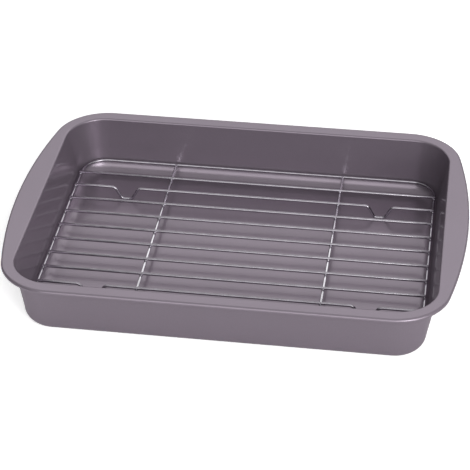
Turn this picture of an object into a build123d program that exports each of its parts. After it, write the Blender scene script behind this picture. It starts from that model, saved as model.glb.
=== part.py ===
from build123d import *
import os
from math import pi, radians, tan

# Roasting pan of coated sheet steel with a wire rack that stands inside it.
# Lengths are in millimetres. The pan stands on z = 0, x runs along its length
# and y towards the back.

# Pan sizes
pan_length = 380.0
pan_width = 280.0
pan_height = 51.5
sheet = 0.8

# Rim: its reach beyond the tub, the bow of its ends and its turned-down edge
handle_reach = 19.7
side_rim_reach = 11.7
handle_bow = 20.0
rim_corner_radius = 46.0
rim_skirt = 2.6
rim_edge_radius = 1.0
lip_radius = 3.0

# Tub, measured on the outer face of its walls
tub_top_corner_radius = 34.0
tub_floor_corner_radius = 24.5
end_flare_deg = 10.6
side_flare_deg = 4.5
cove_radius = 11.0

# Rack wires, and their room from the tub's outer face at the frame's level
wire_diameter = 2.5
weld_sink = 0.2
weld_flat_share = 0.8
rack_deck_height = 13.6
rack_end_room = 3.98
rack_side_room = 3.14
frame_corner_radius = 22.0
cross_setback = 83.1

# Long wires of the rack
long_wire_count = 10
first_wire_setback = 26.6
long_wire_end_setback = 0.3

# Feet bent into two of the long wires
foot_wire_numbers = (2, 9)
foot_setback = 46.3
foot_top_width = 21.0
foot_bottom_width = 9.0
foot_bend_radius = 4.5
foot_clearance = 0.3

# Sizes of the pan that follow from the ones above
tub_top_length = pan_length - 2 * handle_reach
tub_top_width = pan_width - 2 * side_rim_reach
handle_arc_radius = (handle_bow**2 + (pan_width / 2) ** 2) / (2 * handle_bow)
inside_fillet = lip_radius - sheet
end_slope = tan(radians(end_flare_deg))
side_slope = tan(radians(side_flare_deg))

# Sizes of the rack that follow from the ones above
wire_radius = wire_diameter / 2
frame_level = rack_deck_height - wire_diameter + weld_sink
weld_level = (rack_deck_height + frame_level) / 2
weld_flat = wire_diameter * weld_flat_share
frame_length = tub_top_length - 2 * (pan_height - frame_level) * end_slope - 2 * rack_end_room
frame_width = tub_top_width - 2 * (pan_height - frame_level) * side_slope - 2 * rack_side_room
cross_place = frame_length / 2 - cross_setback
long_wire_pitch = (frame_width - 2 * first_wire_setback) / (long_wire_count - 1)
long_wire_length = frame_length + wire_diameter - 2 * long_wire_end_setback
foot_place = frame_length / 2 - foot_setback
foot_level = sheet + foot_clearance + wire_radius


def tub_section(height, inset):
    """Outline of the tub at a height, moved in by inset from the outer face."""
    drop = pan_height - height
    length = tub_top_length - 2 * drop * end_slope
    width = tub_top_width - 2 * drop * side_slope
    share = height / pan_height
    corner = tub_floor_corner_radius + (tub_top_corner_radius - tub_floor_corner_radius) * share
    outline = RectangleRounded(length - 2 * inset, width - 2 * inset, corner - inset)
    return Pos(0, 0, height) * outline


def tub_wall(low_edge, high_edge):
    """One face of the tub: flat along a side, ruled round a corner."""
    if low_edge.geom_type == GeomType.LINE:
        corners = [low_edge @ 0, low_edge @ 1, high_edge @ 1, high_edge @ 0]
        return Face(Wire.make_polygon(corners, close=True))
    return Face.make_surface_from_curves(low_edge, high_edge)


def tub_block(bottom, top, inset, bottom_radius):
    """Solid flared block between two heights with a rounded bottom edge."""
    low = tub_section(bottom, inset).face()
    high = tub_section(top, inset).face()
    low_edges = low.outer_wire().order_edges()
    high_edges = high.outer_wire().order_edges()
    walls = [tub_wall(below, above) for below, above in zip(low_edges, high_edges)]
    block = Solid(Shell([low, high] + walls))
    bottom_edges = block.faces().sort_by(Axis.Z)[0].edges()
    return fillet(bottom_edges, bottom_radius)


def rim_outline(inset):
    """Outline of the rim: straight long sides and arched ends."""
    reach = pan_length / 2 - handle_arc_radius
    band = Rectangle(2 * pan_length, pan_width - 2 * inset)
    right_arc = Pos(reach, 0) * Circle(handle_arc_radius - inset)
    left_arc = Pos(-reach, 0) * Circle(handle_arc_radius - inset)
    outline = band & right_arc & left_arc
    return fillet(outline.vertices(), rim_corner_radius - inset)


def rim_cap():
    """Flat rim with its edge turned down, still closed over the tub."""
    outer = extrude(Pos(0, 0, pan_height - rim_skirt) * rim_outline(0), rim_skirt)
    outer = fillet(outer.faces().sort_by(Axis.Z)[-1].edges(), rim_edge_radius)
    inner = extrude(Pos(0, 0, pan_height - rim_skirt) * rim_outline(sheet), rim_skirt - sheet)
    return outer - inner


def make_pan():
    """The drawn sheet pan as one solid of even thickness."""
    shell = tub_block(0, pan_height, 0, cove_radius + sheet) + rim_cap()
    shell -= tub_block(sheet, pan_height + sheet, sheet, cove_radius)
    flat_faces = shell.faces().filter_by(Axis.Z)
    rim_underside = min(flat_faces, key=lambda face: abs(face.center().Z - (pan_height - sheet)))
    shell = fillet(rim_underside.inner_wires()[0].edges(), inside_fillet)
    top_face = shell.faces().filter_by(Axis.Z).sort_by(Axis.Z)[-1]
    return fillet(top_face.inner_wires()[0].edges(), lip_radius)


def weld_places():
    """Crossings of the long wires with the frame's ends and the cross wires."""
    across = [-frame_length / 2, -cross_place, cross_place, frame_length / 2]
    return [(x_place, long_wire_place(number)) for number in range(1, long_wire_count + 1) for x_place in across]


def long_wire_place(number):
    """Where a long wire lies across the rack; number one is at the back."""
    return ((long_wire_count + 1) / 2 - number) * long_wire_pitch


def flatten(wire, side):
    """Press the weld flats into a wire: side is 1 for its top, -1 for its underside."""
    wire_box = wire.bounding_box()
    for x_place, y_place in weld_places():
        along_x = wire_box.min.X - wire_radius < x_place < wire_box.max.X + wire_radius
        along_y = wire_box.min.Y - wire_radius < y_place < wire_box.max.Y + wire_radius
        if along_x and along_y:
            block = Box(weld_flat, weld_flat, weld_flat)
            wire = wire - Pos(x_place, y_place, weld_level + side * weld_flat / 2) * block
    return wire


def make_frame():
    """The closed wire loop that carries the rack."""
    path = Pos(0, 0, frame_level) * RectangleRounded(frame_length, frame_width, frame_corner_radius)
    start = Plane(origin=(0, frame_width / 2, frame_level), x_dir=(0, 1, 0), z_dir=(1, 0, 0))
    return sweep(start * Circle(wire_radius), path=path.wire())


def make_cross_wire(x_place, frame):
    """A wire from the back to the front whose ends are coped to the frame."""
    start = Plane(origin=(x_place, -frame_width / 2, frame_level), x_dir=(1, 0, 0), z_dir=(0, 1, 0))
    wire = extrude(start * Circle(wire_radius), frame_width)
    return wire - frame


def foot_corners(centre):
    """Corners of one foot of the wire, from left to right."""
    top = foot_top_width / 2
    bottom = foot_bottom_width / 2
    return [
        (centre - top, rack_deck_height),
        (centre - bottom, foot_level),
        (centre + bottom, foot_level),
        (centre + top, rack_deck_height),
    ]


def bent_path(corners):
    """Path of a bent wire: each bend is two equal turns that touch the bend radius."""
    points = [corners[0]]
    for before, corner, after in zip(corners, corners[1:], corners[2:]):
        back = (before - corner).normalized()
        ahead = (after - corner).normalized()
        turn = pi - radians(back.get_angle(ahead))
        reach = foot_bend_radius * (tan(turn / 2) - tan(turn / 4))
        points += [corner + back * reach, corner + ahead * reach]
    return Polyline(*points, corners[-1])


def make_long_wire(number):
    """One long wire; the foot wires dip to the floor of the pan twice."""
    y_place = long_wire_place(number)
    half = long_wire_length / 2
    start = Plane(origin=(-half, y_place, rack_deck_height), x_dir=(0, 1, 0), z_dir=(1, 0, 0))
    if number not in foot_wire_numbers:
        return extrude(start * Circle(wire_radius), long_wire_length)
    outline = [(-half, rack_deck_height)]
    outline += foot_corners(-foot_place)
    outline += foot_corners(foot_place)
    outline += [(half, rack_deck_height)]
    path = bent_path([Vector(x, y_place, z) for x, z in outline])
    return sweep(start * Circle(wire_radius), path=path, transition=Transition.RIGHT)


def save(name, shape):
    """Write one piece to the parts folder."""
    solids = shape.solids()
    piece = solids[0] if len(solids) == 1 else Compound(children=solids)
    piece.label = name
    export_step(piece, "parts/" + name + ".step")


def main():
    """Build every piece of the pan and the rack."""
    os.makedirs("parts", exist_ok=True)
    save("pan", make_pan())
    frame = make_frame()
    save("rack_frame", flatten(frame, 1))
    save("rack_cross_left", flatten(make_cross_wire(-cross_place, frame), 1))
    save("rack_cross_right", flatten(make_cross_wire(cross_place, frame), 1))
    for number in range(1, long_wire_count + 1):
        save("rack_wire_" + str(number).zfill(2), flatten(make_long_wire(number), -1))


main()
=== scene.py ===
"""Looks of a coated steel roasting pan with a chrome-plated wire rack.

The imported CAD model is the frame. The pan and every wire of the rack are
rebuilt here as finer meshes in the same places, dressed with procedural
finishes, and shown on a plain pale floor under soft studio light.
"""

import logging
import math
from dataclasses import dataclass
from enum import Enum
from typing import Callable, Sequence

import bpy
from mathutils import Matrix, Vector


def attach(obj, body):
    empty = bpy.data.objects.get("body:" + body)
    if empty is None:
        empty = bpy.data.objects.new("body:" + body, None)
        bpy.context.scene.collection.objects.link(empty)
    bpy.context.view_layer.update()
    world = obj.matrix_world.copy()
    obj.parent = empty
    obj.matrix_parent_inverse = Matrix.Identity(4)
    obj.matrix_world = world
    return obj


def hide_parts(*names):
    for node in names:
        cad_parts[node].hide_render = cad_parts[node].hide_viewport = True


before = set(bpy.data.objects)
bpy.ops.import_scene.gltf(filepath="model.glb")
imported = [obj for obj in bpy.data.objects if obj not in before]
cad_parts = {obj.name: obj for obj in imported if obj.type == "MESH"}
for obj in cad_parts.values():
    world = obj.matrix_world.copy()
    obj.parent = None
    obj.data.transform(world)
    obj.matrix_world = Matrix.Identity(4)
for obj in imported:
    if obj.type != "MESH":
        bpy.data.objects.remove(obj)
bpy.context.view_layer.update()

logging.basicConfig(level=logging.INFO, format="%(message)s")
LOG = logging.getLogger("roasting_pan")

MM = 0.001
PAN_BODY = "pan"
RACK_BODY = "rack"
# Lighter tints of the same chrome for the two cross wires: a painted highlight that stands in for
# the brighter reflections they catch.
CROSS_SHEEN_PAINTED_DARK = (0.62, 0.6, 0.64)
CROSS_SHEEN_PAINTED_LIGHT = (0.72, 0.7, 0.74)

QUARTER_TURN = math.radians(90.0)
HALF_TURN = math.radians(180.0)
FULL_TURN = 2.0 * math.pi
NOISE_RANGE = (0.3, 0.7)
TINT_RANGE = (0.35, 0.65)
FLOOR_SHARES = (0.08, 0.3, 0.55, 0.78, 0.93, 0.985)
FLAT_SHARES = (0.08, 0.5, 0.92)

Point = tuple[float, float, float]
Plan = tuple[float, float]
Ring = list[Point]
Station = tuple[int, float, float]
WireRing = tuple[Vector, Vector, Vector, float]


class Slot(Enum):
    """Material slots of the record."""

    STEEL = "coated_steel"
    CHROME = "chrome_wire"


class NodeMaker:
    """Small helper that builds a node material step by step."""

    def __init__(self, name: str) -> None:
        """Start an empty node material.

        Args:
            name: Name of the material.
        """
        self.material = bpy.data.materials.new(name)
        self.material.use_nodes = True
        self.tree = self.material.node_tree
        self.tree.nodes.clear()

    def add(self, kind: str, **settings: object) -> bpy.types.Node:
        """Add a node and set its plain attributes.

        Args:
            kind: Blender's node type.
            **settings: Attributes of the node, by name.

        Returns:
            The new node.
        """
        node = self.tree.nodes.new(kind)
        for key, value in settings.items():
            setattr(node, key, value)
        return node

    def join(self, source: bpy.types.NodeSocket, target: bpy.types.NodeSocket) -> None:
        """Link an output socket to an input socket."""
        self.tree.links.new(source, target)

    def noise(self, scale: float, detail: float, roughness: float) -> bpy.types.Node:
        """Add a noise texture on the object's own coordinates.

        Args:
            scale: Cells per metre.
            detail: Octaves of the noise.
            roughness: Weight of the finer octaves.

        Returns:
            The noise node.
        """
        place = self.add("ShaderNodeTexCoord")
        texture = self.add("ShaderNodeTexNoise")
        texture.inputs["Scale"].default_value = scale
        texture.inputs["Detail"].default_value = detail
        texture.inputs["Roughness"].default_value = roughness
        self.join(place.outputs["Object"], texture.inputs["Vector"])
        return texture

    def spread(
        self, source: bpy.types.NodeSocket, low: float, high: float
    ) -> bpy.types.NodeSocket:
        """Stretch a noise value to a range.

        Args:
            source: Socket with the noise value.
            low: Value for the darkest noise.
            high: Value for the brightest noise.

        Returns:
            Socket with the stretched value.
        """
        node = self.add("ShaderNodeMapRange")
        node.inputs["From Min"].default_value = NOISE_RANGE[0]
        node.inputs["From Max"].default_value = NOISE_RANGE[1]
        node.inputs["To Min"].default_value = low
        node.inputs["To Max"].default_value = high
        self.join(source, node.inputs["Value"])
        return node.outputs["Result"]

    def tint(
        self, source: bpy.types.NodeSocket, dark: Sequence[float], light: Sequence[float]
    ) -> bpy.types.NodeSocket:
        """Blend two colours by a noise value.

        Args:
            source: Socket with the noise value.
            dark: Colour for the low values.
            light: Colour for the high values.

        Returns:
            Socket with the colour.
        """
        ramp = self.add("ShaderNodeValToRGB")
        low, high = ramp.color_ramp.elements
        low.position, high.position = TINT_RANGE
        low.color = (*dark, 1.0)
        high.color = (*light, 1.0)
        self.join(source, ramp.inputs["Fac"])
        return ramp.outputs["Color"]

    def relief(
        self, source: bpy.types.NodeSocket, strength: float, depth: float
    ) -> bpy.types.NodeSocket:
        """Turn a value into a bump.

        Args:
            source: Socket with the height value.
            strength: Strength of the bump.
            depth: Height in metres.

        Returns:
            Socket with the bumped normal.
        """
        bump = self.add("ShaderNodeBump")
        bump.inputs["Strength"].default_value = strength
        bump.inputs["Distance"].default_value = depth
        self.join(source, bump.inputs["Height"])
        return bump.outputs["Normal"]

    def surface(self) -> bpy.types.Node:
        """Add the main shader and link it to the output.

        Returns:
            The principled shader node.
        """
        shader = self.add("ShaderNodeBsdfPrincipled")
        output = self.add("ShaderNodeOutputMaterial")
        self.join(shader.outputs["BSDF"], output.inputs["Surface"])
        return shader


@dataclass(frozen=True)
class CoatedSteelFinish:
    """Mauve-grey metallic non-stick coating with a fine flake."""

    dark: tuple[float, float, float] = (0.258, 0.219, 0.261)
    light: tuple[float, float, float] = (0.284, 0.243, 0.288)
    metallic: float = 0.62
    edge_tint: tuple[float, float, float, float] = (0.5, 0.45, 0.5, 1.0)
    roughness_low: float = 0.28
    roughness_high: float = 0.32
    specular: float = 0.0
    coat: float = 0.4
    coat_roughness: float = 0.08
    flake_cells: float = 2600.0
    cloud_cells: float = 14.0
    flake_noise: tuple[float, float] = (2.0, 0.6)
    cloud_noise: tuple[float, float] = (3.0, 0.5)
    flake_strength: float = 0.10
    flake_depth: float = 0.00003

    def make(self) -> bpy.types.Material:
        """Build the coating material.

        Returns:
            The material.
        """
        maker = NodeMaker("mauve_grey_coating")
        flake = maker.noise(self.flake_cells, *self.flake_noise)
        cloud = maker.noise(self.cloud_cells, *self.cloud_noise)
        shader = maker.surface()
        tint = maker.tint(flake.outputs["Fac"], self.dark, self.light)
        maker.join(tint, shader.inputs["Base Color"])
        rough = maker.spread(cloud.outputs["Fac"], self.roughness_low, self.roughness_high)
        maker.join(rough, shader.inputs["Roughness"])
        bump = maker.relief(flake.outputs["Fac"], self.flake_strength, self.flake_depth)
        maker.join(bump, shader.inputs["Normal"])
        shader.inputs["Metallic"].default_value = self.metallic
        shader.inputs["Specular Tint"].default_value = self.edge_tint
        shader.inputs["Specular IOR Level"].default_value = self.specular
        shader.inputs["Coat Weight"].default_value = self.coat
        shader.inputs["Coat Roughness"].default_value = self.coat_roughness
        return maker.material


@dataclass(frozen=True)
class ChromeFinish:
    """Bright chrome plate on drawn steel wire."""

    name: str = "bright_chrome_plate"
    dark: tuple[float, float, float] = (0.38, 0.358, 0.394)
    light: tuple[float, float, float] = (0.45, 0.425, 0.467)
    roughness_low: float = 0.16
    roughness_high: float = 0.22
    cloud_cells: float = 180.0
    ripple_cells: float = 900.0
    cloud_noise: tuple[float, float] = (3.0, 0.5)
    ripple_noise: tuple[float, float] = (2.0, 0.5)
    ripple_strength: float = 0.05
    ripple_depth: float = 0.00004
    metallic: float = 1.0

    def make(self) -> bpy.types.Material:
        """Build the chrome material.

        Returns:
            The material.
        """
        maker = NodeMaker(self.name)
        cloud = maker.noise(self.cloud_cells, *self.cloud_noise)
        ripple = maker.noise(self.ripple_cells, *self.ripple_noise)
        shader = maker.surface()
        tint = maker.tint(cloud.outputs["Fac"], self.dark, self.light)
        maker.join(tint, shader.inputs["Base Color"])
        rough = maker.spread(cloud.outputs["Fac"], self.roughness_low, self.roughness_high)
        maker.join(rough, shader.inputs["Roughness"])
        bump = maker.relief(ripple.outputs["Fac"], self.ripple_strength, self.ripple_depth)
        maker.join(bump, shader.inputs["Normal"])
        shader.inputs["Metallic"].default_value = self.metallic
        return maker.material


@dataclass(frozen=True)
class StudioFloorFinish:
    """Plain matt white paper under the object."""

    colour: tuple[float, float, float, float] = (0.93, 0.93, 0.93, 1.0)
    roughness: float = 0.9
    lift: float = 0.5
    mirror_lift: float = 0.1

    def make(self) -> bpy.types.Material:
        """Build the paper material, a little lighter where it is looked at or mirrored.

        Returns:
            The material.
        """
        maker = NodeMaker("white_paper")
        paper = maker.add("ShaderNodeBsdfDiffuse")
        paper.inputs["Color"].default_value = self.colour
        paper.inputs["Roughness"].default_value = self.roughness
        glow = maker.add("ShaderNodeEmission")
        path = maker.add("ShaderNodeLightPath")
        seen = maker.add("ShaderNodeMath", operation="MULTIPLY")
        seen.inputs[1].default_value = self.lift
        strength = maker.add("ShaderNodeMath", operation="MULTIPLY_ADD")
        strength.inputs[1].default_value = self.mirror_lift
        both = maker.add("ShaderNodeAddShader")
        output = maker.add("ShaderNodeOutputMaterial")
        maker.join(path.outputs["Is Camera Ray"], seen.inputs[0])
        maker.join(path.outputs["Is Glossy Ray"], strength.inputs[0])
        maker.join(seen.outputs["Value"], strength.inputs[2])
        maker.join(strength.outputs["Value"], glow.inputs["Strength"])
        maker.join(paper.outputs["BSDF"], both.inputs[0])
        maker.join(glow.outputs["Emission"], both.inputs[1])
        maker.join(both.outputs["Shader"], output.inputs["Surface"])
        return maker.material


def mesh_object(
    name: str, points: Sequence[Point], faces: Sequence[Sequence[int]]
) -> bpy.types.Object:
    """Make a smooth-shaded mesh object.

    Args:
        name: Name of the object and its mesh.
        points: Corners in metres.
        faces: Corner numbers of each face.

    Returns:
        The new object, linked to the scene.
    """
    mesh = bpy.data.meshes.new(name)
    mesh.from_pydata([Vector(p) for p in points], [], [list(f) for f in faces])
    mesh.validate()
    mesh.shade_smooth()
    made = bpy.data.objects.new(name, mesh)
    bpy.context.scene.collection.objects.link(made)
    return made


def place(
    piece: bpy.types.Object,
    body: str,
    slot: Slot,
    material: bpy.types.Material,
    nodes: Sequence[str],
) -> None:
    """Dress a piece, let it stand for its CAD nodes and ride on its body.

    Args:
        piece: The finished mesh object.
        body: CAD body that carries it.
        slot: Material slot of the record; not used.
        material: Finish of the piece.
        nodes: CAD nodes that the piece replaces.
    """
    piece.data.materials.clear()
    piece.data.materials.append(material)
    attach(piece, body)
    if nodes:
        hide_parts(*nodes)
    LOG.info("%s: %d faces on body %s", piece.name, len(piece.data.polygons), body)


@dataclass
class DrawnPan:
    """The pan: one drawn sheet with flared walls, a flat rim and arched ends.

    Sizes are in metres and repeat the ones the CAD source is built from, but for
    two bends that follow the photograph: edge_radius is rounder than in the
    source and lip is tighter.
    """

    length: float = 380.0 * MM
    width: float = 280.0 * MM
    height: float = 51.5 * MM
    sheet: float = 0.8 * MM
    tub_top_length: float = 340.6 * MM
    tub_top_width: float = 256.6 * MM
    tub_top_corner: float = 34.0 * MM
    tub_floor_corner: float = 24.5 * MM
    end_flare: float = math.radians(10.6)
    side_flare: float = math.radians(4.5)
    cove: float = 11.0 * MM
    arc: float = 500.0 * MM
    rim_corner: float = 46.0 * MM
    skirt: float = 2.6 * MM
    edge_radius: float = 2.1 * MM
    lip: float = 1.8 * MM
    corner_steps: int = 16
    side_steps: int = 24
    end_steps: int = 16
    bend_steps: int = 8
    hem_steps: int = 4
    wall_count: int = 5
    hold: float = 1.0 * MM

    def loop(self) -> list[Station]:
        """Stations round the pan, each as a corner number, a turn and a slide.

        Returns:
            Corner number from 0 to 3, share of the corner's turn, and share of
            the straight run that follows the corner.
        """
        stations: list[Station] = []
        for corner in range(4):
            for step in range(self.corner_steps + 1):
                stations.append((corner, step / self.corner_steps, 0.0))
            run = self.side_steps if corner % 2 == 0 else self.end_steps
            for step in range(1, run):
                stations.append((corner, 1.0, step / run))
        return stations

    def slope(self, corner: int, turn: float) -> float:
        """Flare of the wall at a station, blended round the corner.

        Args:
            corner: Corner number.
            turn: Share of the corner's turn.

        Returns:
            Flare in radians.
        """
        angle = QUARTER_TURN * (corner + turn)
        share = math.cos(angle) ** 2
        return self.end_flare * share + self.side_flare * (1.0 - share)

    def tub_point(self, station: Station, height: float, inset: float) -> Plan:
        """Place on the tub's wall in plan.

        Args:
            station: Corner number, share of its turn, share of the run after it.
            height: Height on the wall.
            inset: Distance inside the wall's outer face.

        Returns:
            x and y of the place.
        """
        corner, turn, slide = station
        drop = self.height - height
        half_x = self.tub_top_length / 2 - drop * math.tan(self.end_flare)
        half_y = self.tub_top_width / 2 - drop * math.tan(self.side_flare)
        share = height / self.height
        radius = self.tub_floor_corner + (self.tub_top_corner - self.tub_floor_corner) * share

        def on_corner(number: int, part: float) -> Plan:
            """Point of a corner's arc.

            Args:
                number: Corner number; 4 is the first corner again.
                part: Share of the corner's turn.

            Returns:
                x and y of the point.
            """
            sign_x = 1.0 if number % 4 in (0, 3) else -1.0
            sign_y = 1.0 if number % 4 in (0, 1) else -1.0
            angle = QUARTER_TURN * (number + part)
            x = sign_x * (half_x - radius) + (radius - inset) * math.cos(angle)
            y = sign_y * (half_y - radius) + (radius - inset) * math.sin(angle)
            return x, y

        x, y = on_corner(corner, turn)
        if slide:
            next_x, next_y = on_corner(corner + 1, 0.0)
            x, y = x + (next_x - x) * slide, y + (next_y - y) * slide
        return x, y

    def rim_point(self, station: Station, inset: float) -> Plan:
        """Place on the rim's outer edge in plan.

        Args:
            station: Corner number, share of its turn, share of the run after it.
            inset: Distance inside the edge.

        Returns:
            x and y of the place.
        """
        corner, turn, slide = station
        arc_x = self.length / 2 - self.arc
        corner_y = self.width / 2 - self.rim_corner
        reach = self.arc - self.rim_corner
        corner_x = arc_x + math.sqrt(reach**2 - corner_y**2)
        start = math.atan2(corner_y, corner_x - arc_x)
        sign_x = 1.0 if corner in (0, 3) else -1.0
        sign_y = 1.0 if corner in (0, 1) else -1.0
        rising = corner % 2 == 0
        share = turn if rising else 1.0 - turn
        angle = start + (QUARTER_TURN - start) * share
        radius = self.rim_corner - inset
        x = sign_x * (corner_x + radius * math.cos(angle))
        y = sign_y * (corner_y + radius * math.sin(angle))
        if slide and rising:
            x *= 1.0 - 2.0 * slide
        elif slide:
            swing = start * (1.0 - 2.0 * slide)
            x = sign_x * (arc_x + (self.arc - inset) * math.cos(swing))
            y = sign_y * (self.arc - inset) * math.sin(swing)
        return x, y

    def tub_ring(self, place_of: Callable[[float], Plan], inset: float) -> Ring:
        """Ring of points on the tub whose height and extra inset follow the flare.

        Args:
            place_of: From a wall's flare to the height and the offset along the
                wall's inward direction.
            inset: Distance inside the wall's outer face.

        Returns:
            The ring's points.
        """
        ring: Ring = []
        for station in self.loop():
            corner, turn, _ = station
            flare = self.slope(corner, turn)
            height, offset = place_of(flare)
            base = self.foot_height(inset) if offset else height
            x, y = self.tub_point(station, base, inset + offset)
            ring.append((x, y, height))
        return ring

    def foot_height(self, inset: float) -> float:
        """Height of the floor's face that belongs to a wall face."""
        return self.sheet if inset else 0.0

    def cove_rings(self, inset: float, radius: float) -> list[Ring]:
        """Rings of the rounded foot of the wall, from the floor up.

        Args:
            inset: Distance inside the wall's outer face.
            radius: Radius of the cove.

        Returns:
            The rings in order.
        """
        floor = self.foot_height(inset)

        def make(share: float) -> Callable[[float], Plan]:
            """Rule for a ring of the cove.

            Args:
                share: Share of the cove's bend, from the floor up.

            Returns:
                From a wall's flare to the ring's height and inward offset.
            """

            def where(flare: float) -> Plan:
                """Place on the cove for one flare.

                Args:
                    flare: Flare of the wall in radians.

                Returns:
                    Height and inward offset.
                """
                bend = QUARTER_TURN - flare
                back = radius * math.tan(bend / 2)
                angle = bend * share
                return floor + radius * (1 - math.cos(angle)), back - radius * math.sin(angle)

            return where

        steps = self.bend_steps
        return [self.tub_ring(make(step / steps), inset) for step in range(steps + 1)]

    def wall_rings(self, inset: float, low: float, high: float, count: int) -> list[Ring]:
        """Level rings on the wall between two heights.

        Args:
            inset: Distance inside the wall's outer face.
            low: Lowest height.
            high: Highest height.
            count: How many rings.

        Returns:
            The rings from low to high.
        """
        rings: list[Ring] = []
        for step in range(count):
            height = low + (high - low) * step / (count - 1)
            rings.append([(*self.tub_point(s, height, inset), height) for s in self.loop()])
        return rings

    def lip_rings(self, inset: float, level: float, radius: float) -> list[Ring]:
        """Rings of the bend from the wall to the flat rim.

        Args:
            inset: Distance inside the wall's outer face.
            level: Height of the rim's face.
            radius: Radius of the bend.

        Returns:
            The rings from the wall to the rim.
        """
        rings: list[Ring] = []
        for step in range(self.bend_steps + 1):
            ring: Ring = []
            for station in self.loop():
                corner, turn, _ = station
                bend = QUARTER_TURN - self.slope(corner, turn)
                angle = bend * (1.0 - step / self.bend_steps)
                out = radius * math.tan(bend / 2) - radius * math.sin(angle)
                height = level - radius * (1.0 - math.cos(angle))
                x, y = self.tub_point(station, level, inset - out)
                ring.append((x, y, height))
            rings.append(ring)
        return rings

    def flat_rings(self, inner: Ring, outer: Ring, shares: Sequence[float]) -> list[Ring]:
        """Rings between two rings, at the given shares of the way.

        Args:
            inner: First ring.
            outer: Last ring.
            shares: Shares of the way from the first to the last.

        Returns:
            The rings in order.
        """
        rings: list[Ring] = []
        for share in shares:
            pairs = zip(inner, outer)
            rings.append([tuple(a + (b - a) * share for a, b in zip(p, q)) for p, q in pairs])
        return rings

    def rim_ring(self, inset: float, height: float) -> Ring:
        """Level ring that follows the rim's outer edge."""
        return [(*self.rim_point(s, inset), height) for s in self.loop()]

    def edge_rings(self, inset: float, level: float, radius: float) -> list[Ring]:
        """Rings of the bend at the rim's outer edge, from flat to upright.

        Args:
            inset: Distance of the upright face inside the outer edge.
            level: Height of the rim's face.
            radius: Radius of the bend.

        Returns:
            The rings from the flat to the upright face.
        """
        rings: list[Ring] = []
        for step in range(self.bend_steps + 1):
            angle = QUARTER_TURN * step / self.bend_steps
            side = inset + radius * (1.0 - math.sin(angle))
            rings.append(self.rim_ring(side, level - radius * (1.0 - math.cos(angle))))
        return rings

    def floor_rings(self, ring: Ring) -> list[Ring]:
        """Rings that fill the floor from the middle out to its edge.

        Args:
            ring: The floor's edge ring.

        Returns:
            The rings from the middle outwards, without the edge itself.
        """
        middle: Ring = [(0.0, 0.0, p[2]) for p in ring]
        return self.flat_rings(middle, ring, FLOOR_SHARES)

    def profile(self) -> list[Ring]:
        """All rings from the floor's middle over the rim and back underneath.

        Returns:
            The rings in order.
        """
        inner_cove = self.cove_rings(self.sheet, self.cove)
        inner_lip = self.lip_rings(self.sheet, self.height, self.lip)
        low = self.sheet + self.cove + self.hold
        high = self.height - self.lip - self.hold
        edge = self.edge_rings(0.0, self.height, self.edge_radius)
        rings = self.floor_rings(inner_cove[0]) + inner_cove
        rings += self.wall_rings(self.sheet, low, high, self.wall_count) + inner_lip
        rings += self.flat_rings(inner_lip[-1], edge[0], FLAT_SHARES) + edge
        rings += self.hem_rings()
        under = self.height - self.sheet
        under_edge = self.edge_rings(self.sheet, under, self.edge_radius - self.sheet)
        under_lip = self.lip_rings(0.0, under, self.lip - self.sheet)
        rings += under_edge[::-1]
        rings += self.flat_rings(under_edge[0], under_lip[-1], FLAT_SHARES) + under_lip[::-1]
        outer_cove = self.cove_rings(0.0, self.cove + self.sheet)
        rings += self.wall_rings(0.0, low, high, self.wall_count)[::-1] + outer_cove[::-1]
        rings += self.floor_rings(outer_cove[0])[::-1]
        return rings

    def hem_rings(self) -> list[Ring]:
        """Rings of the rounded lower edge of the turned-down skirt.

        Returns:
            The rings from the outer to the inner face.
        """
        rings: list[Ring] = []
        half = self.sheet / 2
        for step in range(self.hem_steps + 1):
            angle = HALF_TURN * step / self.hem_steps
            side = half * (1.0 - math.cos(angle))
            height = self.height - self.skirt + half * (1.0 - math.sin(angle))
            rings.append(self.rim_ring(side, height))
        return rings

    def build(self) -> bpy.types.Object:
        """Make the pan's mesh from its rings.

        Returns:
            The mesh object.
        """
        rings = self.profile()
        count = len(rings[0])
        points = [p for ring in rings for p in ring]
        faces: list[list[int]] = []
        for row in range(len(rings) - 1):
            for column in range(count):
                after = (column + 1) % count
                low, high = row * count, (row + 1) * count
                faces.append([low + column, low + after, high + after, high + column])
        last = (len(rings) - 1) * count
        faces.append(list(range(count))[::-1])
        faces.append([last + column for column in range(count)])
        return mesh_object("drawn_pan", points, faces)

    def dress(self, piece: bpy.types.Object, finish: bpy.types.Material) -> None:
        """Coat the pan and set it in place of its CAD node."""
        place(piece, PAN_BODY, Slot.STEEL, finish, ["pan"])


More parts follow.
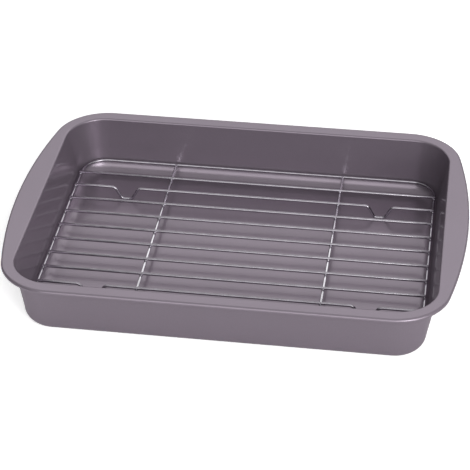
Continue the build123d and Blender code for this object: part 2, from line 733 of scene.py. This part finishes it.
@dataclass
class WireTube:
    """A round wire drawn along a path, with domed ends unless it is closed."""

    radius: float
    around: int = 20
    dome_steps: int = 4
    dome_depth_share: float = 0.45
    dome_turn: float = math.radians(86.0)

    def build(self, name: str, path: Sequence[Vector], closed: bool) -> bpy.types.Object:
        """Make the wire's mesh.

        Args:
            name: Name of the object.
            path: Points of the centre line.
            closed: Whether the wire runs back into itself.

        Returns:
            The mesh object.
        """
        rings: list[WireRing] = []
        count = len(path)
        side = self.first_side(path[1] - path[0])
        for number, centre in enumerate(path):
            before = path[number - 1] if number or closed else centre
            after = path[(number + 1) % count] if number < count - 1 or closed else centre
            along = (after - before).normalized()
            side = (side - along * side.dot(along)).normalized()
            rings.append((centre, side.copy(), along.cross(side), 1.0))
        if not closed:
            rings = self.domed(rings, path)
        points: list[Point] = []
        for centre, side, up, share in rings:
            for step in range(self.around):
                angle = FULL_TURN * step / self.around
                spoke = side * math.cos(angle) + up * math.sin(angle)
                points.append(tuple(centre + spoke * self.radius * share))
        return mesh_object(name, points, self.skin(len(rings), closed))

    def first_side(self, along: Vector) -> Vector:
        """A direction square to the wire's start, level where it can be."""
        up = Vector((0.0, 0.0, 1.0))
        return up.cross(along).normalized()

    def domed(self, rings: list[WireRing], path: Sequence[Vector]) -> list[WireRing]:
        """Round off both ends of an open wire.

        Args:
            rings: Centre, two spokes and size of each ring.
            path: Points of the centre line.

        Returns:
            The rings with the domes' rings added.
        """
        start = (path[0] - path[1]).normalized()
        end = (path[-1] - path[-2]).normalized()
        depth = self.radius * self.dome_depth_share
        heads: list[WireRing] = []
        tails: list[WireRing] = []
        for step in range(1, self.dome_steps + 1):
            angle = self.dome_turn * step / self.dome_steps
            shift = depth * (math.sin(angle) - 1.0)
            heads.append((path[0] + start * shift, rings[0][1], rings[0][2], math.cos(angle)))
            tails.append((path[-1] + end * shift, rings[-1][1], rings[-1][2], math.cos(angle)))
        first = (path[0] - start * depth, rings[0][1], rings[0][2], 1.0)
        last = (path[-1] - end * depth, rings[-1][1], rings[-1][2], 1.0)
        return heads[::-1] + [first] + rings[1:-1] + [last] + tails

    def skin(self, count: int, closed: bool) -> list[list[int]]:
        """Faces between the rings and, on an open wire, over both ends.

        Args:
            count: How many rings there are.
            closed: Whether the last ring joins the first.

        Returns:
            Corner numbers of each face.
        """
        faces: list[list[int]] = []
        for row in range(count if closed else count - 1):
            low, high = row * self.around, (row + 1) % count * self.around
            for step in range(self.around):
                after = (step + 1) % self.around
                faces.append([low + step, low + after, high + after, high + step])
        if not closed:
            faces.append(list(range(self.around))[::-1])
            faces.append([(count - 1) * self.around + step for step in range(self.around)])
        return faces


def bend_path(corners: Sequence[Vector], radius: float, steps: int) -> list[Vector]:
    """Round the corners of a path of straight runs.

    Args:
        corners: Corner points, first and last included.
        radius: Bend radius of the wire's centre line.
        steps: Steps in each bend.

    Returns:
        Points of the rounded path.
    """
    path = [corners[0]]
    for before, here, after in zip(corners, corners[1:], corners[2:]):
        back = (before - here).normalized()
        ahead = (after - here).normalized()
        half = back.angle(ahead) / 2
        reach = radius / math.tan(half)
        centre = here + (back + ahead).normalized() * (radius / math.sin(half))
        first = here + back * reach - centre
        last = here + ahead * reach - centre
        sweep = first.angle(last)
        for step in range(steps + 1):
            share = step / steps
            mixed = first * math.sin((1 - share) * sweep) + last * math.sin(share * sweep)
            path.append(centre + mixed / math.sin(sweep))
    path.append(corners[-1])
    return path


@dataclass
class WireRack:
    """The welded rack: a frame loop, two cross wires and the long wires.

    Sizes are in metres and repeat the ones the CAD source is built from. The
    weld beads are drawn here alone.
    """

    wire: float = 2.5 * MM
    sink: float = 0.2 * MM
    deck: float = 13.6 * MM
    frame_length: float = 317.6 * MM
    frame_width: float = 244.0 * MM
    frame_corner: float = 22.0 * MM
    cross_spacing: float = 151.4 * MM
    count: int = 10
    pitch: float = 21.2 * MM
    setback: float = 0.3 * MM
    foot_numbers: tuple[int, ...] = (2, 9)
    foot_spacing: float = 225.0 * MM
    foot_top: float = 21.0 * MM
    foot_bottom: float = 9.0 * MM
    foot_bend: float = 4.5 * MM
    foot_level: float = 2.35 * MM
    weld_reach: float = 1.55 * MM
    weld_height: float = 0.75 * MM
    weld_rows: int = 5
    weld_around: int = 12
    weld_cap_degrees: float = 8.0
    weld_span_degrees: float = 164.0
    corner_steps: int = 12
    bend_steps: int = 6
    cope_share: float = 0.25

    def carrier_level(self) -> float:
        """Height of the centre of the frame and the cross wires."""
        return self.deck - self.wire + self.sink

    def tube(self) -> WireTube:
        """The wire that every piece of the rack is made of."""
        return WireTube(self.wire / 2)

    def build_frame(self) -> bpy.types.Object:
        """Make the closed loop that carries the rack.

        Returns:
            The mesh object.
        """
        half_x, half_y = self.frame_length / 2, self.frame_width / 2
        radius = self.frame_corner
        path: list[Vector] = []
        for corner in range(4):
            sign_x = 1.0 if corner in (0, 3) else -1.0
            sign_y = 1.0 if corner in (0, 1) else -1.0
            x, y = sign_x * (half_x - radius), sign_y * (half_y - radius)
            middle = Vector((x, y, self.carrier_level()))
            for step in range(self.corner_steps + 1):
                angle = QUARTER_TURN * (corner + step / self.corner_steps)
                path.append(middle + Vector((math.cos(angle), math.sin(angle), 0.0)) * radius)
        return self.tube().build("frame_loop", path, closed=True)

    def build_cross(self, name: str, x: float) -> bpy.types.Object:
        """Make a wire that runs from the back to the front of the frame.

        Args:
            name: Name of the piece.
            x: Place along the rack.

        Returns:
            The mesh object.
        """
        half = self.frame_width / 2 - self.wire * self.cope_share
        ends = [Vector((x, -half, self.carrier_level())), Vector((x, half, self.carrier_level()))]
        return self.tube().build(name, ends, closed=False)

    def row(self, number: int) -> float:
        """Place of a long wire across the rack, counted from the back."""
        return ((self.count + 1) / 2 - number) * self.pitch

    def build_long(self, number: int) -> bpy.types.Object:
        """Make one long wire; the foot wires dip to the pan's floor twice.

        Args:
            number: Number of the wire, from the back.

        Returns:
            The mesh object.
        """
        half = self.frame_length / 2 + self.wire / 2 - self.setback
        y = self.row(number)
        corners = [Vector((-half, y, self.deck))]
        if number in self.foot_numbers:
            for side in (-1.0, 1.0):
                middle = side * self.foot_spacing / 2
                top, bottom = (self.foot_top, self.deck), (self.foot_bottom, self.foot_level)
                for share, (reach, height) in ((-1, top), (-1, bottom), (1, bottom), (1, top)):
                    corners.append(Vector((middle + share * reach / 2, y, height)))
        corners.append(Vector((half, y, self.deck)))
        path = bend_path(corners, self.foot_bend, self.bend_steps)
        return self.tube().build("deck_wire_%02d" % number, path, closed=False)

    def build_welds(self) -> bpy.types.Object:
        """Make the small weld spots where the long wires lie on their carriers.

        Returns:
            The mesh object.
        """
        level = (self.deck + self.carrier_level()) / 2
        half, cross = self.frame_length / 2, self.cross_spacing / 2
        carriers = (-half, -cross, cross, half)
        points: list[Point] = []
        faces: list[list[int]] = []
        for number in range(1, self.count + 1):
            for x in carriers:
                self.add_spot(points, faces, Vector((x, self.row(number), level)))
        return mesh_object("weld_spots", points, faces)

    def add_spot(self, points: list[Point], faces: list[list[int]], centre: Vector) -> None:
        """Add one flattened bead to a mesh.

        Args:
            points: Corners so far; the bead's are added.
            faces: Faces so far; the bead's are added.
            centre: Middle of the bead.
        """
        rows, around = self.weld_rows, self.weld_around
        base = len(points)
        for row in range(rows + 1):
            tilt = math.radians(self.weld_cap_degrees + self.weld_span_degrees * row / rows)
            for step in range(around):
                turn = FULL_TURN * step / around
                reach = self.weld_reach * math.sin(tilt)
                x, y = centre.x + reach * math.cos(turn), centre.y + reach * math.sin(turn)
                points.append((x, y, centre.z + self.weld_height * math.cos(tilt)))
        for row in range(rows):
            for step in range(around):
                after = (step + 1) % around
                low, high = base + row * around, base + (row + 1) * around
                faces.append([low + step, high + step, high + after, low + after])
        faces.append([base + step for step in range(around)])
        faces.append([base + rows * around + step for step in range(around)][::-1])

    def build_all(
        self, finish: bpy.types.Material, cross_painted_sheen_finish: bpy.types.Material
    ) -> None:
        """Build every wire and dress it.

        Args:
            finish: The chrome finish of the frame, the long wires and the welds.
            cross_painted_sheen_finish: The chrome finish of the two cross wires, made lighter
                than the rest as a painted highlight that stands in for the brighter reflections
                they catch.
        """
        place(self.build_frame(), RACK_BODY, Slot.CHROME, finish, ["rack_frame"])
        half = self.cross_spacing / 2
        for side, x in (("left", -half), ("right", half)):
            piece = self.build_cross("cross_wire_" + side, x)
            place(piece, RACK_BODY, Slot.CHROME, cross_painted_sheen_finish, ["rack_cross_" + side])
        for number in range(1, self.count + 1):
            piece = self.build_long(number)
            place(piece, RACK_BODY, Slot.CHROME, finish, ["rack_wire_%02d" % number])
        place(self.build_welds(), RACK_BODY, Slot.CHROME, finish, [])


@dataclass
class SoftLamp:
    """One soft rectangular lamp that looks at the object."""

    name: str
    where: Point
    size: tuple[float, float]
    power: float
    look_at: Point = (0.0, 0.0, 0.02)

    def build(self) -> bpy.types.Object:
        """Hang the lamp.

        Returns:
            The lamp object.
        """
        data = bpy.data.lights.new(self.name, "AREA")
        data.shape = "RECTANGLE"
        data.size, data.size_y = self.size
        data.energy = self.power
        lamp = bpy.data.objects.new(self.name, data)
        lamp.location = self.where
        aim = Vector(self.look_at) - Vector(self.where)
        lamp.rotation_euler = aim.to_track_quat("-Z", "Y").to_euler()
        bpy.context.scene.collection.objects.link(lamp)
        return lamp


@dataclass
class Studio:
    """The pale floor, the lamps, the sky and the camera."""

    floor_half: float = 6.0
    sky_level: float = 0.12
    sky_lean: Point = (0.2, 0.0, 0.52)
    azimuth: float = math.radians(8.25)
    elevation: float = math.radians(34.18)
    roll: float = math.radians(-0.23)
    distance: float = 1560.5 * MM
    target: Point = (-9.5 * MM, 33.5 * MM, 0.0)
    focal_pixels: float = 1800.0
    image_pixels: float = 470.0
    sensor_mm: float = 36.0
    view_reach: float = 50.0

    def build_floor(self) -> None:
        """Lay the white paper that the pan stands on."""
        half = self.floor_half
        corners = [(-half, -half, 0.0), (half, -half, 0.0), (half, half, 0.0), (-half, half, 0.0)]
        floor = mesh_object("studio_floor", corners, [[0, 1, 2, 3]])
        floor.data.materials.append(StudioFloorFinish().make())

    def build_sky(self) -> None:
        """Set a surround that grows lighter overhead and to the right.

        The camera sees it white, like the paper.
        """
        world = bpy.data.worlds.new("studio_sky")
        bpy.context.scene.world = world
        world.use_nodes = True
        tree = world.node_tree
        glow = tree.nodes["Background"]
        glow.inputs["Color"].default_value = (1.0, 1.0, 1.0, 1.0)
        heading = tree.nodes.new("ShaderNodeTexCoord")
        lean = tree.nodes.new("ShaderNodeVectorMath")
        lean.operation = "DOT_PRODUCT"
        lean.inputs[1].default_value = self.sky_lean
        level = tree.nodes.new("ShaderNodeMath")
        level.operation = "ADD"
        level.use_clamp = True
        level.inputs[1].default_value = self.sky_level
        path = tree.nodes.new("ShaderNodeLightPath")
        seen = tree.nodes.new("ShaderNodeMath")
        seen.operation = "MAXIMUM"
        tree.links.new(heading.outputs["Generated"], lean.inputs[0])
        tree.links.new(lean.outputs["Value"], level.inputs[0])
        tree.links.new(level.outputs["Value"], seen.inputs[0])
        tree.links.new(path.outputs["Is Camera Ray"], seen.inputs[1])
        tree.links.new(seen.outputs["Value"], glow.inputs["Strength"])

    def build_lamps(self) -> None:
        """Hang the soft lamps."""
        lamps = (
            SoftLamp("back_panel", where=(-0.2, 1.6, 1.2), size=(3.6, 0.9), power=9.5),
            SoftLamp("front_panel", where=(0.3, -2.0, 1.2), size=(2.8, 1.7), power=22.0),
            SoftLamp("key_lamp", where=(1.26, -1.8, 0.95), size=(0.9, 1.0), power=13.0),
            SoftLamp("right_panel", where=(1.75, -1.3, 0.6), size=(0.9, 0.8), power=7.0),
        )
        for lamp in lamps:
            lamp.build()

    def build_camera(self) -> None:
        """Set the camera at the photograph's viewing angle."""
        heading = Vector((math.sin(self.azimuth), -math.cos(self.azimuth), 0.0))
        level = heading * math.cos(self.elevation)
        outward = level + Vector((0.0, 0.0, math.sin(self.elevation)))
        spot = Vector(self.target) + outward * self.distance
        right = (-outward).cross(Vector((0.0, 0.0, 1.0))).normalized()
        up = right.cross(-outward)
        rolled_right = right * math.cos(self.roll) + up * math.sin(self.roll)
        rolled_up = up * math.cos(self.roll) - right * math.sin(self.roll)
        data = bpy.data.cameras.new("photo_camera")
        data.sensor_width = self.sensor_mm
        data.lens = self.focal_pixels * self.sensor_mm / self.image_pixels
        data.clip_end = self.view_reach
        camera = bpy.data.objects.new("photo_camera", data)
        turn = Matrix((rolled_right, rolled_up, outward)).transposed()
        camera.matrix_world = Matrix.Translation(spot) @ turn.to_4x4()
        bpy.context.scene.collection.objects.link(camera)
        bpy.context.scene.camera = camera

    def build(self) -> None:
        """Build the whole studio."""
        self.build_floor()
        self.build_sky()
        self.build_lamps()
        self.build_camera()
        bpy.context.scene.view_settings.view_transform = "Standard"


def main() -> None:
    """Build the pan, the rack and the studio."""
    coating = CoatedSteelFinish().make()
    chrome = ChromeFinish().make()
    # The cross wires get a lighter copy of the chrome, a painted highlight for their brighter
    # reflections.
    cross_painted_sheen_chrome = ChromeFinish("chrome_with_painted_sheen", CROSS_SHEEN_PAINTED_DARK, CROSS_SHEEN_PAINTED_LIGHT).make()
    pan = DrawnPan()
    pan.dress(pan.build(), coating)
    WireRack().build_all(chrome, cross_painted_sheen_chrome)
    Studio().build()


if __name__ == "__main__":
    main()
